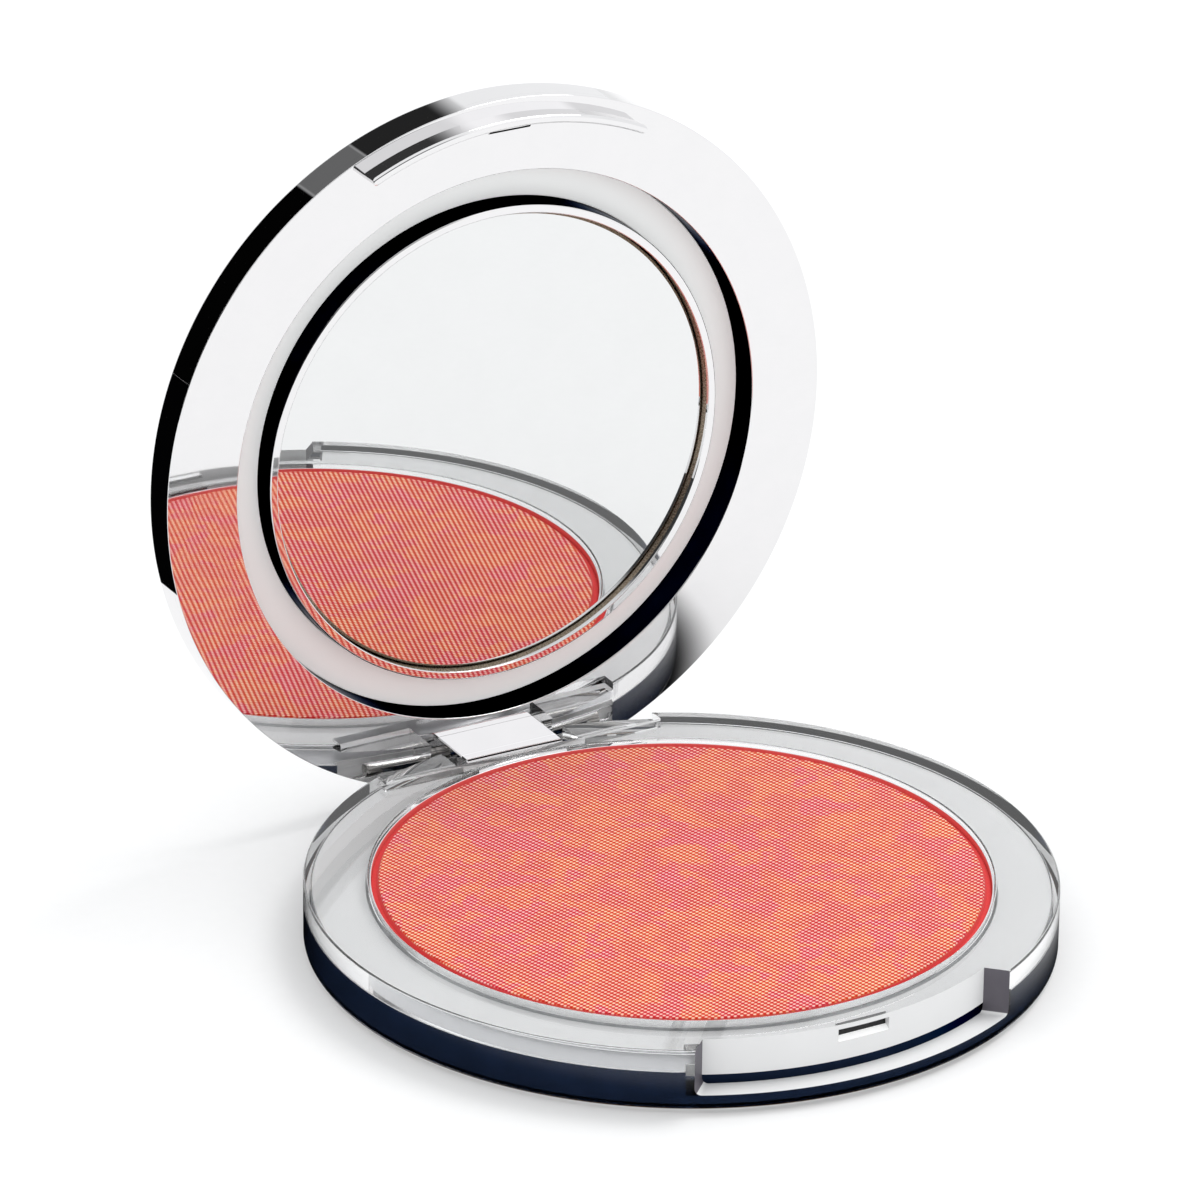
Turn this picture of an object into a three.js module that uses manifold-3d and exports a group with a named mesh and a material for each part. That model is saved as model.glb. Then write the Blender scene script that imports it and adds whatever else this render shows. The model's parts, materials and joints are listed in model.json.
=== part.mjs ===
// A round pressed-powder compact, standing open: a clear base over a chrome-plated shell,
// and a chrome-plated lid that holds a mirror and turns about a steel pin at the back.
// Millimetres, +Z up. The origin is the centre of the base's underside; the hinge is at +Y
// and the latch at -Y. The lid is drawn closed, then turned open about the hinge axis.
import * as THREE from "three";
import { mergeVertices } from "three/addons/utils/BufferGeometryUtils.js";
import Module from "manifold-3d";

const wasm = await Module();
wasm.setup();

// ---- Driving dimensions ----
const OUTER_RADIUS = 37; // base and lid share one outline
const DECK_HEIGHT = 6.7; // top of the base, where the closed lid lands
const LID_GAP = 0.2; // air between the deck and the closed lid
const OPEN_ANGLE = Math.PI / 2; // the lid stands upright on its stop

const FIT = 0.1; // clearance between pieces that are pressed or dropped together
const EDGE = 0.3; // small chamfer on moulded edges
const ROUND_STEPS = 80; // facets around the large rings

// Base: the chrome-plated shell under the clear body
const SHELL_RADIUS = 36.2;
const SHELL_TOP = 4.2;
const SHELL_FLOOR = 1.4;
const SHELL_BORE = 30.5;
const SKIRT_BOTTOM = 0.5; // the clear skirt stops short of the table
const WELL_RADIUS = 30.2;

// Pan and powder
const ADHESIVE_THICKNESS = 0.4;
const PAN_RADIUS = 29.9;
const PAN_WALL = 0.35;
const PAN_TOP = 6.45;
const CAKE_TOP = 6.5;
const CAKE_BEVEL_WIDTH = 0.9;
const CAKE_BEVEL_DROP = 0.5;

// Finger notch at the front, with the catch slot in its back wall
const NOTCH_HALF_ANGLE = THREE.MathUtils.degToRad(28);
const NOTCH_RADIUS = 34.6;
const NOTCH_LEDGE = 2;
const NOTCH_WALL = 0.8;
const NOTCH_SHELL_TOP = 2.9; // the shell is lower where it passes behind the notch
const SLOT_WIDTH = 5.6;
const SLOT_TOP = 6.2;
const SLOT_BOTTOM = 4.9;
const SLOT_DEPTH = 1.2;

// Hinge at the back
const HINGE_Y = 34.2;
const HINGE_Z = 3.65;
const PIN_RADIUS = 0.75;
const PIN_LENGTH = 27;
const KNUCKLE_RADIUS = 2.25;
const KNUCKLE_WIDTH = 11;
const KNUCKLE_SLOT_WIDTH = 14;
const LUG_SPAN = 31.6; // across both clear lugs
const LUG_TOP = 5.9; // the lugs lie a step below the deck
const LUG_FRONT = 31.7;
const LUG_BOTTOM = 1.2;

// Lid, measured from its inner face towards its back
const LID_RIM_THICKNESS = 0.8;
const LID_SIDE_HEIGHT = 3.5;
const LID_CROWN = 5.4; // full thickness at the centre
const COVER_WALL = 0.6;
const FRAME_WALL = 0.6;
const FRAME_FLOOR = 3.4;
const FRAME_FLOOR_THICKNESS = 0.4;
const GROOVE_OUTER_RADIUS = 29.3;
const GROOVE_INNER_RADIUS = 25.4;
const GROOVE_RING_THICKNESS = 0.2;
const MIRROR_RIM_DEPTH = 0.6;
const MIRROR_SEAT_RADIUS = 24.5;
const MIRROR_DEPTH = 1.6;
const MIRROR_THICKNESS = 1.4;

// Latch lip: a curved rib under the front of the lid, with the snap hook on its inner face
const LIP_HALF_ANGLE = THREE.MathUtils.degToRad(25.7);
const LIP_INNER_RADIUS = 34.8;
const LIP_OUTER_RADIUS = 35.7;
const LIP_HEIGHT = 2.2;
const HOOK_WIDTH = 4.6;
const HOOK_REACH = 0.5;
const HOOK_HEIGHT = 0.7;

// ---- Worked out from the dimensions above ----
const LID_FACE = DECK_HEIGHT + LID_GAP;
const FRONT = -Math.PI / 2; // direction of the latch in the XY plane
const PAN_BOTTOM = SHELL_FLOOR + ADHESIVE_THICKNESS + 2 * FIT;
const MIRROR_RADIUS = MIRROR_SEAT_RADIUS - FIT;
const FAR = 2 * OUTER_RADIUS; // long enough for a cut to run out of the part

// ---- Solids ----

// A geometry as a manifold-3d solid: only positions, with shared vertices merged.
function solidOf(geometry) {
  const bare = geometry.clone();
  bare.deleteAttribute("normal");
  bare.deleteAttribute("uv");
  const merged = mergeVertices(bare, 1e-4);
  const triVerts = merged.index.array;
  return new wasm.Manifold(
    new wasm.Mesh({
      numProp: 3,
      vertProperties: merged.attributes.position.array,
      triVerts: new Uint32Array(triVerts),
    }),
  );
}

function geometryOf(solid) {
  const mesh = solid.getMesh();
  const geometry = new THREE.BufferGeometry();
  geometry.setAttribute("position", new THREE.BufferAttribute(mesh.vertProperties, 3));
  geometry.setIndex(new THREE.BufferAttribute(mesh.triVerts, 1));
  const flat = geometry.toNonIndexed();
  flat.computeVertexNormals();
  return flat;
}

// A solid of revolution about Z from [radius, height] points, counter-clockwise.
function turned(points, steps = ROUND_STEPS) {
  const outline = points.map(([radius, height]) => new THREE.Vector2(radius, height));
  if (points[0][0] > 0) outline.push(outline[0].clone());
  return solidOf(new THREE.LatheGeometry(outline, steps).rotateX(Math.PI / 2));
}

// A plain disc about Z with its two edges chamfered.
function disc(radius, bottom, top, chamfer) {
  return turned([
    [0, bottom],
    [radius - chamfer, bottom],
    [radius, bottom + chamfer],
    [radius, top - chamfer],
    [radius - chamfer, top],
    [0, top],
  ]);
}

// Part of a ring about Z, centred on the latch direction.
function frontSector(innerRadius, outerRadius, bottom, top, halfAngle) {
  const outline = new THREE.Shape();
  outline.absarc(0, 0, outerRadius, FRONT - halfAngle, FRONT + halfAngle, false);
  outline.absarc(0, 0, innerRadius, FRONT + halfAngle, FRONT - halfAngle, true);
  const geometry = new THREE.ExtrudeGeometry(outline, {
    depth: top - bottom,
    bevelEnabled: false,
    curveSegments: 24,
  });
  return solidOf(geometry.translate(0, 0, bottom));
}

// A box from its lowest and highest corners.
function block(low, high) {
  const size = high.map((value, axis) => value - low[axis]);
  const centre = high.map((value, axis) => (value + low[axis]) / 2);
  return solidOf(new THREE.BoxGeometry(...size).translate(...centre));
}

// A rod along X, centred on the hinge axis.
function hingeRod(radius, length, steps) {
  const rod = new THREE.CylinderGeometry(radius, radius, length, steps);
  return solidOf(rod.rotateZ(Math.PI / 2).translate(0, HINGE_Y, HINGE_Z));
}

// ---- Base ----

// One clear moulding: deck, skirt, finger notch with its catch slot, and the two hinge lugs.
function makeBaseBody() {
  const deckUnderside = SHELL_TOP + FIT;
  const skirtInside = SHELL_RADIUS + FIT;
  const ring = turned([
    [WELL_RADIUS, deckUnderside],
    [skirtInside, deckUnderside],
    [skirtInside, SKIRT_BOTTOM],
    [OUTER_RADIUS - EDGE, SKIRT_BOTTOM],
    [OUTER_RADIUS, SKIRT_BOTTOM + EDGE],
    [OUTER_RADIUS, DECK_HEIGHT - EDGE / 2],
    [OUTER_RADIUS - EDGE / 2, DECK_HEIGHT],
    [WELL_RADIUS + EDGE / 2, DECK_HEIGHT],
    [WELL_RADIUS, DECK_HEIGHT - EDGE / 2],
  ]);
  const wallAngle = NOTCH_WALL / NOTCH_RADIUS;
  const notchWall = NOTCH_RADIUS - NOTCH_WALL;
  const notchPad = frontSector(
    notchWall,
    OUTER_RADIUS - EDGE,
    NOTCH_LEDGE - NOTCH_WALL,
    DECK_HEIGHT - EDGE,
    NOTCH_HALF_ANGLE + wallAngle,
  );
  const notch = frontSector(NOTCH_RADIUS, FAR, NOTCH_LEDGE, FAR, NOTCH_HALF_ANGLE);
  const slot = block(
    [-SLOT_WIDTH / 2, -NOTCH_RADIUS - 1, SLOT_BOTTOM],
    [SLOT_WIDTH / 2, SLOT_DEPTH - NOTCH_RADIUS, SLOT_TOP],
  );
  const outline = disc(OUTER_RADIUS, SKIRT_BOTTOM, DECK_HEIGHT, EDGE);
  const lugs = block([-LUG_SPAN / 2, LUG_FRONT, LUG_BOTTOM], [LUG_SPAN / 2, FAR, LUG_TOP]);
  const aboveLugs = block([-LUG_SPAN / 2, LUG_FRONT, LUG_TOP], [LUG_SPAN / 2, FAR, FAR]);
  const knuckleSlot = block(
    [-KNUCKLE_SLOT_WIDTH / 2, LUG_FRONT, -1],
    [KNUCKLE_SLOT_WIDTH / 2, FAR, FAR],
  );
  return ring
    .add(notchPad)
    .subtract(notch)
    .subtract(slot)
    .add(lugs.intersect(outline))
    .subtract(aboveLugs)
    .subtract(knuckleSlot)
    .subtract(hingeRod(PIN_RADIUS + FIT, FAR, 24));
}

// The chrome-plated shell: the flat underside, the floor under the pan and the ring round it.
function makeBaseShell() {
  const ring = turned([
    [0, 0],
    [SHELL_RADIUS - 2 * EDGE, 0],
    [SHELL_RADIUS, 2 * EDGE],
    [SHELL_RADIUS, SHELL_TOP],
    [SHELL_BORE, SHELL_TOP],
    [SHELL_BORE, SHELL_FLOOR],
    [0, SHELL_FLOOR],
  ]);
  const wallAngle = (NOTCH_WALL + 2 * FIT) / NOTCH_RADIUS;
  const padInside = NOTCH_RADIUS - NOTCH_WALL - FIT;
  const aroundPad = frontSector(
    padInside,
    FAR,
    NOTCH_LEDGE - NOTCH_WALL - FIT,
    FAR,
    NOTCH_HALF_ANGLE + wallAngle,
  );
  const behindPad = frontSector(
    SHELL_BORE + 1,
    padInside + 1,
    NOTCH_SHELL_TOP,
    FAR,
    NOTCH_HALF_ANGLE + wallAngle,
  );
  const aroundLugs = block(
    [-LUG_SPAN / 2 - FIT, LUG_FRONT - FIT, LUG_BOTTOM - FIT],
    [LUG_SPAN / 2 + FIT, FAR, FAR],
  );
  return ring.subtract(aroundPad).subtract(behindPad).subtract(aroundLugs);
}

function makePanAdhesive() {
  const bottom = SHELL_FLOOR + FIT;
  return disc(PAN_RADIUS - 3, bottom, bottom + ADHESIVE_THICKNESS, ADHESIVE_THICKNESS / 4);
}

// The pressed metal pan: a flat floor and a thin upright wall.
function makePowderPan() {
  const floorTop = PAN_BOTTOM + PAN_WALL;
  const inside = PAN_RADIUS - PAN_WALL;
  return turned([
    [0, PAN_BOTTOM],
    [PAN_RADIUS - EDGE, PAN_BOTTOM],
    [PAN_RADIUS, PAN_BOTTOM + EDGE],
    [PAN_RADIUS, PAN_TOP],
    [inside, PAN_TOP],
    [inside, floorTop],
    [0, floorTop],
  ]);
}

// The pressed powder: a flat cake whose edge slopes down to the pan's rim.
function makePowderCake() {
  const bottom = PAN_BOTTOM + PAN_WALL + FIT / 2;
  const radius = PAN_RADIUS - PAN_WALL - FIT / 2;
  return turned([
    [0, bottom],
    [radius, bottom],
    [radius, CAKE_TOP - CAKE_BEVEL_DROP],
    [radius - CAKE_BEVEL_WIDTH, CAKE_TOP],
    [0, CAKE_TOP],
  ]);
}

function makeHingePin() {
  return hingeRod(PIN_RADIUS, PIN_LENGTH, 24);
}

// ---- Lid, drawn closed: its inner face looks down ----

// Height of a point that lies a given depth behind the lid's inner face.
const behindFace = (depth) => LID_FACE + depth;

// The chrome-plated inner frame: flat rim, deep groove, mirror rim and seat, with the
// latch lip at the front and the hinge knuckle at the back in the same moulding.
function makeLidFrame() {
  const floorBack = behindFace(FRAME_FLOOR + FRAME_FLOOR_THICKNESS);
  const bowl = turned([
    [0, behindFace(FRAME_FLOOR)],
    [MIRROR_SEAT_RADIUS, behindFace(FRAME_FLOOR)],
    [MIRROR_SEAT_RADIUS, behindFace(MIRROR_RIM_DEPTH)],
    [GROOVE_INNER_RADIUS, behindFace(MIRROR_RIM_DEPTH)],
    [GROOVE_INNER_RADIUS, behindFace(FRAME_FLOOR)],
    [GROOVE_OUTER_RADIUS, behindFace(FRAME_FLOOR)],
    [GROOVE_OUTER_RADIUS, LID_FACE],
    [OUTER_RADIUS - EDGE / 2, LID_FACE],
    [OUTER_RADIUS, behindFace(EDGE / 2)],
    [OUTER_RADIUS, behindFace(LID_RIM_THICKNESS)],
    [GROOVE_OUTER_RADIUS + FRAME_WALL, behindFace(LID_RIM_THICKNESS)],
    [GROOVE_OUTER_RADIUS + FRAME_WALL, floorBack],
    [0, floorBack],
  ]);
  const root = behindFace(LID_RIM_THICKNESS / 2);
  const lip = frontSector(
    LIP_INNER_RADIUS,
    LIP_OUTER_RADIUS,
    LID_FACE - LIP_HEIGHT,
    root,
    LIP_HALF_ANGLE,
  );
  const hookBottom = LID_FACE - LIP_HEIGHT + EDGE;
  const hook = block(
    [-HOOK_WIDTH / 2, -LIP_INNER_RADIUS - EDGE, hookBottom],
    [HOOK_WIDTH / 2, HOOK_REACH - LIP_INNER_RADIUS, hookBottom + HOOK_HEIGHT],
  );
  const arm = block(
    [-KNUCKLE_WIDTH / 2, HINGE_Y - KNUCKLE_RADIUS, HINGE_Z],
    [KNUCKLE_WIDTH / 2, HINGE_Y + KNUCKLE_RADIUS - 2 * EDGE, root],
  );
  return bowl
    .add(lip)
    .add(hook)
    .add(arm)
    .add(hingeRod(KNUCKLE_RADIUS, KNUCKLE_WIDTH, 48))
    .subtract(hingeRod(PIN_RADIUS + FIT, FAR, 24));
}

// The chrome-plated outer cover: an upright side, a rounded edge and a shallow crown.
function makeLidCover() {
  const rimBottom = behindFace(LID_RIM_THICKNESS + FIT);
  const sideTop = behindFace(LID_SIDE_HEIGHT);
  const edgeRadius = 0.6;
  const shoulder = OUTER_RADIUS - edgeRadius;
  const crownRise = behindFace(LID_CROWN) - sideTop - edgeRadius;
  const edgeSteps = 3;
  const crownSteps = 5;
  const outside = [];
  for (let i = 0; i <= edgeSteps; i++) {
    const turn = (i / edgeSteps) * (Math.PI / 2);
    outside.push([
      shoulder + edgeRadius * Math.cos(turn),
      sideTop + edgeRadius * Math.sin(turn),
    ]);
  }
  for (let i = 1; i <= crownSteps; i++) {
    const share = 1 - i / crownSteps;
    outside.push([
      shoulder * share,
      sideTop + edgeRadius + crownRise * (1 - share * share),
    ]);
  }
  const inside = outside
    .slice(edgeSteps)
    .reverse()
    .map(([radius, height]) => [Math.min(radius, shoulder - EDGE), height - COVER_WALL]);
  return turned([
    ...inside,
    [shoulder - EDGE, rimBottom],
    [OUTER_RADIUS, rimBottom],
    ...outside,
  ]);
}

// The satin ring that lines the floor of the lid's groove.
function makeGrooveRing() {
  const back = behindFace(FRAME_FLOOR - FIT);
  const face = back - GROOVE_RING_THICKNESS;
  const inner = GROOVE_INNER_RADIUS + FIT;
  const outer = GROOVE_OUTER_RADIUS - FIT;
  return turned([
    [inner, face],
    [outer, face],
    [outer, back],
    [inner, back],
  ]);
}

function makeMirrorGlass() {
  const face = behindFace(MIRROR_DEPTH);
  return disc(MIRROR_RADIUS, face, face + MIRROR_THICKNESS, EDGE);
}

function makeMirrorAdhesive() {
  const face = behindFace(MIRROR_DEPTH + MIRROR_THICKNESS + FIT);
  const back = behindFace(FRAME_FLOOR - FIT);
  return disc(MIRROR_RADIUS - 1.5, face, back, FIT / 2);
}

// ---- Assembly ----

function finish(color, roughness, metalness) {
  return new THREE.MeshStandardMaterial({ color, roughness, metalness });
}

const chrome = finish("#dfe2e6", 0.05, 1);
const clearPlastic = finish("#e9edf0", 0.08, 0);
const satinSilver = finish("#d9dad9", 0.5, 0.6);
const steel = finish("#b9b7b2", 0.25, 1);
const panMetal = finish("#c6c6c8", 0.35, 1);
const powder = finish("#e8736a", 0.9, 0);
const glass = finish("#e4e9ec", 0.02, 1);
const adhesive = finish("#e6e2d8", 0.8, 0);

function addPart(group, name, solid, material) {
  const mesh = new THREE.Mesh(geometryOf(solid), material);
  mesh.name = name;
  group.add(mesh);
  return mesh;
}

const base = new THREE.Group();
addPart(base, "base_body", makeBaseBody(), clearPlastic);
addPart(base, "base_shell", makeBaseShell(), chrome);
addPart(base, "pan_adhesive", makePanAdhesive(), adhesive);
addPart(base, "powder_pan", makePowderPan(), panMetal);
addPart(base, "powder_cake", makePowderCake(), powder);
addPart(base, "hinge_pin", makeHingePin(), steel);

const closedLid = new THREE.Group();
closedLid.position.set(0, -HINGE_Y, -HINGE_Z);
addPart(closedLid, "lid_frame", makeLidFrame(), chrome);
addPart(closedLid, "lid_cover", makeLidCover(), chrome);
addPart(closedLid, "groove_ring", makeGrooveRing(), satinSilver);
addPart(closedLid, "mirror_glass", makeMirrorGlass(), glass);
addPart(closedLid, "mirror_adhesive", makeMirrorAdhesive(), adhesive);

// The lid turns about the hinge axis; opening lifts its front.
const lid = new THREE.Group();
lid.position.set(0, HINGE_Y, HINGE_Z);
lid.rotation.x = -OPEN_ANGLE;
lid.add(closedLid);

const compact = new THREE.Group();
compact.name = "powder_compact";
compact.add(base, lid);

export default compact;
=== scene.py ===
"""The looks of a round pressed-powder compact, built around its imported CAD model.

Shapes are drawn in millimetres, with the base on the floor and the origin under its centre, and
turned into metres at the end. The lid is drawn closed, as the CAD model draws it, and turned open
about the hinge. Radii and heights are read from the frame's boxes where a box states them.
"""
import json
import math

import bmesh
import bpy
from mathutils import Matrix, Vector


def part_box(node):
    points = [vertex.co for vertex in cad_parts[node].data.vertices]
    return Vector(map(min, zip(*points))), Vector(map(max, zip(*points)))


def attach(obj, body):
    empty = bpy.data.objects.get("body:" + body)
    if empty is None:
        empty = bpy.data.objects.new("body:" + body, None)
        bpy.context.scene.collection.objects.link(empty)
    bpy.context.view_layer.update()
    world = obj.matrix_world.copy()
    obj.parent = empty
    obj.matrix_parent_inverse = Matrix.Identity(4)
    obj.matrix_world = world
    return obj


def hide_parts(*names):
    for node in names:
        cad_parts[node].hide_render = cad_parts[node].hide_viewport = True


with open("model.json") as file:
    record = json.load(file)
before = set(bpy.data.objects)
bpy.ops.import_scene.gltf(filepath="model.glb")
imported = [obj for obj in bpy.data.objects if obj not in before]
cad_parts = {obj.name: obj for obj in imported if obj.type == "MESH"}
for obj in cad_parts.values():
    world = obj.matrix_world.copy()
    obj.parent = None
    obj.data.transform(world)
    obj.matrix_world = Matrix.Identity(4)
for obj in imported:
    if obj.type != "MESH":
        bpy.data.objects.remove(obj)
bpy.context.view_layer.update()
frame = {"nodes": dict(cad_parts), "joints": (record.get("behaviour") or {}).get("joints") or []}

MM = 0.001
ROUND = 240  # facets around the large rings
FILLET_STEPS = 4
SLIVER = 2e-4  # edges shorter than this are merged after cutting


def millimetres(node):
    """A CAD node's lowest and highest corners, in millimetres."""
    low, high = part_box(node)
    return low / MM, high / MM


# ---- Dimensions, in millimetres ----
body_low, body_high = millimetres("base_body")
shell_high = millimetres("base_shell")[1]
pan_low = millimetres("powder_pan")[0]
cake_low, cake_high = millimetres("powder_cake")
pin_low, pin_high = millimetres("hinge_pin")
frame_low, frame_high = millimetres("lid_frame")
ring_low, ring_high = millimetres("groove_ring")
glass_low, glass_high = millimetres("mirror_glass")
hinge = Vector(frame["joints"][0]["pos_m"]) / MM

# A bare word for a round piece (OUTER, SHELL, WELL, PAN, CAKE, PIN, KNUCKLE, MIRROR) is its radius.
FIT = 0.1  # the gap between pieces that slip into one another
OUTER = body_high.x
DECK = body_high.z  # the height of the base's top face
SKIRT_BOTTOM = body_low.z
SHELL = shell_high.x
SHELL_TOP = shell_high.z
SHELL_FLOOR = 1.4
SHELL_BORE = 30.9
WELL = 30.62
PAN = WELL - FIT
PAN_WALL = 0.15
RIM_TOP = DECK - 0.38
CAKE = PAN - PAN_WALL - 0.02
CAKE_TOP = cake_high.z - 0.17
CAKE_STEP = 0.9  # from the edge of the powder's flat top out to its side

NOTCH_HALF_ANGLE = math.radians(28)
NOTCH_RADIUS = 34.6  # of the notch's back wall
NOTCH_LEDGE = 2.0
NOTCH_WALL = 0.8
NOTCH_FLOOR = 0.25  # the clear layer under the ledge
NOTCH_SPLAY = 0.045  # how much narrower the notch is at its back
NOTCH_CORNER = 0.7  # rounding where the ledge meets the notch's ends
# Below this height the wall behind the notch is painted navy, a painted dark reflection.
NOTCH_STRIPE = 2.95  # the wall behind the notch is navy below this height
SLOT_WIDTH = 5.6
SLOT_TOP = 6.2
SLOT_BOTTOM = 4.9
SLOT_BACK = 0.8 - NOTCH_RADIUS  # where the slot ends, along Y
SLOT_LIP = 0.15  # the flat part of the slot's floor, before its ramp
SLOT_RISE = 0.3  # how far the slot's ramp climbs towards its back

PIN = (pin_high.z - pin_low.z) / 2
KNUCKLE = 2.25
KNUCKLE_WIDTH = 11
KNUCKLE_BOTTOM = 2.0
KNUCKLE_GROOVE = (0.8, 0.07, 0.1)  # behind the hinge axis, half width, depth
KNUCKLE_SLOT_WIDTH = 14
LUG_SPAN = 31.6
LUG_TOP = 5.9
LUG_FRONT = 31.7
LUG_BOTTOM = 1.2
LUG_INSET = 0.02  # keeps the lugs' round ends just inside the skirt's

LID_GAP = 0.2
LID_FACE = DECK + LID_GAP  # the inner face's height when the lid is closed
LID_RIM = 0.8
LID_SIDE = 3.5
LID_CROWN = 5.4
LID_SEAM = 0.005
COVER_WALL = 0.6
COVER_SIDE_WALL = 0.9
GROOVE_OUTER = 29.3
GROOVE_INNER = 25.4
GROOVE_DEPTH = 3.4
FRAME_BACK = 3.8
MIRROR_RIM_DEPTH = 0.6
MIRROR_SEAT = 24.5
MIRROR = glass_high.x
MIRROR_DEPTH = 1.6
MIRROR_THICKNESS = glass_high.y - glass_low.y
MIRROR_BEVEL = 0.3
OPEN_FACE = hinge.y + LID_FACE - hinge.z  # the inner face's place along Y when the lid is open
OPEN_AXIS = (frame_low.z + frame_high.z) / 2  # the height of the open lid's centre

LIP_HALF_ANGLE = math.radians(25.7)
LIP_INNER = 34.8
LIP_OUTER = 35.7
LIP_HEIGHT = 2.2
LIP_FLARE = 0.2  # the lip is this much thinner at its root
LIP_TIP_FILLET = 0.28
HOOK_WIDTH = 4.6
HOOK_REACH = 0.5
HOOK_HEIGHT = 0.7
HOOK_ABOVE_TIP = 0.3

TWILL_PITCH = 0.527  # spacing of the embossed ridges in the powder
TWILL_DASH = 0.406  # spacing of the dashes along a ridge
TWILL_LEAN = 0.139  # how far the dashes shift from one ridge to the next
TWILL_TURN = math.radians(16.1)  # the ridges run along Y, turned by this much
TWILL_HEIGHT = 0.02

FAR = 60  # past every piece
FRONT = -math.pi / 2  # the latch's direction, as an angle about Z

OPEN_LID = (
    Matrix.Translation(hinge)
    @ Matrix.Rotation(-math.pi / 2, 4, "X")
    @ Matrix.Translation(-hinge)
)


# ---- Mesh tools ----
def rounded(corners):
    """An outline from (across, up, fillet) corners, with an arc of that radius at each."""
    points = []
    for i, (across, up, fillet) in enumerate(corners):
        here = Vector((across, up))
        if not fillet:
            points.append(here)
            continue
        before = (Vector(corners[i - 1][:2]) - here).normalized()
        after = (Vector(corners[(i + 1) % len(corners)][:2]) - here).normalized()
        half = before.angle(after) / 2
        centre = here + (before + after).normalized() * (fillet / math.sin(half))
        start = here + before * (fillet / math.tan(half)) - centre
        end = here + after * (fillet / math.tan(half)) - centre
        sweep = math.pi - 2 * half
        for step in range(FILLET_STEPS + 1):
            angle = sweep * step / FILLET_STEPS
            arm = start * math.sin(sweep - angle) + end * math.sin(angle)
            points.append(centre + arm / math.sin(sweep))
    return points


def object_from(name, bm):
    """A new object holding what bm has, with its faces pointing out."""
    bmesh.ops.remove_doubles(bm, verts=bm.verts, dist=1e-5)
    bmesh.ops.recalc_face_normals(bm, faces=bm.faces)
    mesh = bpy.data.meshes.new(name)
    bm.to_mesh(mesh)
    bm.free()
    piece = bpy.data.objects.new(name, mesh)
    bpy.context.scene.collection.objects.link(piece)
    return piece


def skin(bm, sections, closed_sections, closed_outline):
    """Quads between neighbouring sections, each a list of vertices of one length."""
    pairs = list(zip(sections, sections[1:]))
    if closed_sections:
        pairs.append((sections[-1], sections[0]))
    for one, other in pairs:
        last = len(one) if closed_outline else len(one) - 1
        for i in range(last):
            j = (i + 1) % len(one)
            corners = [one[i], one[j], other[j], other[i]]
            unique = [v for k, v in enumerate(corners) if v not in corners[:k]]
            if len(unique) > 2:
                bm.faces.new(unique)


def turned(name, corners, facets=ROUND):
    """A solid of revolution about Z from (radius, height, fillet) corners."""
    outline = rounded(corners)
    bm = bmesh.new()
    on_axis = {i: bm.verts.new((0, 0, p.y)) for i, p in enumerate(outline) if p.x < 1e-6}
    sections = []
    for k in range(facets):
        angle = 2 * math.pi * k / facets
        across = Vector((math.cos(angle), math.sin(angle), 0))
        sections.append(
            [
                on_axis.get(i) or bm.verts.new(across * p.x + Vector((0, 0, p.y)))
                for i, p in enumerate(outline)
            ]
        )
    skin(bm, sections, True, not on_axis)
    return object_from(name, bm)


def prism(name, corners, low, high, edge=0.0):
    """A solid between X = low and high from (y, z, fillet) corners, its ends drawn in by edge."""
    outline = rounded(corners)
    centre = sum(outline, Vector((0, 0))) / len(outline)
    stations = [(low, 0), (high, 0)]
    if edge:
        stations = [(low, edge), (low + edge, 0), (high - edge, 0), (high, edge)]
    bm = bmesh.new()
    sections = []
    for x, inset in stations:
        section = []
        for point in outline:
            moved = point + (centre - point).normalized() * inset
            section.append(bm.verts.new((x, moved.x, moved.y)))
        sections.append(section)
    skin(bm, sections, False, True)
    bm.faces.new(sections[0])
    bm.faces.new(sections[-1])
    return object_from(name, bm)


def block(name, low, high):
    """A box from its lowest and highest corners."""
    bm = bmesh.new()
    bmesh.ops.create_cube(bm, size=1)
    size = Vector(high) - Vector(low)
    middle = (Vector(high) + Vector(low)) / 2
    bm.transform(Matrix.Translation(middle) @ Matrix.Diagonal((*size, 1)))
    return object_from(name, bm)


def swept(name, stations):
    """A solid through stations, each an angle about Z and its (radius, height) outline."""
    bm = bmesh.new()
    sections = []
    for angle, outline in stations:
        across = Vector((math.cos(angle), math.sin(angle), 0))
        sections.append([bm.verts.new(across * r + Vector((0, 0, z))) for r, z in outline])
    skin(bm, sections, False, True)
    bm.faces.new(sections[0])
    bm.faces.new(sections[-1])
    return object_from(name, bm)


def bake_modifiers(piece):
    """The piece's modifiers worked into its mesh."""
    depsgraph = bpy.context.evaluated_depsgraph_get()
    baked = bpy.data.meshes.new_from_object(piece.evaluated_get(depsgraph))
    baked.name = piece.name
    piece.modifiers.clear()
    old = piece.data
    piece.data = baked
    bpy.data.meshes.remove(old)


def combine(piece, tool, operation):
    """Joins the tool to the piece (UNION), cuts it away (DIFFERENCE) or keeps the overlap."""
    step = piece.modifiers.new(operation, "BOOLEAN")
    step.operation = operation
    step.object = tool
    step.solver = "EXACT"
    bake_modifiers(piece)
    bpy.data.objects.remove(tool)


def tidy_faces(piece):
    """Removes the slivers that cutting leaves behind."""
    bm = bmesh.new()
    bm.from_mesh(piece.data)
    bmesh.ops.remove_doubles(bm, verts=bm.verts, dist=SLIVER)
    bmesh.ops.dissolve_degenerate(bm, edges=bm.edges, dist=SLIVER)
    bm.to_mesh(piece.data)
    bm.free()


def split_at_height(piece, height):
    """An edge all round the piece at one height, so that its two sides can differ in material."""
    bm = bmesh.new()
    bm.from_mesh(piece.data)
    everything = bm.verts[:] + bm.edges[:] + bm.faces[:]
    bmesh.ops.bisect_plane(bm, geom=everything, plane_co=(0, 0, height), plane_no=(0, 0, 1))
    bm.to_mesh(piece.data)
    bm.free()


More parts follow.
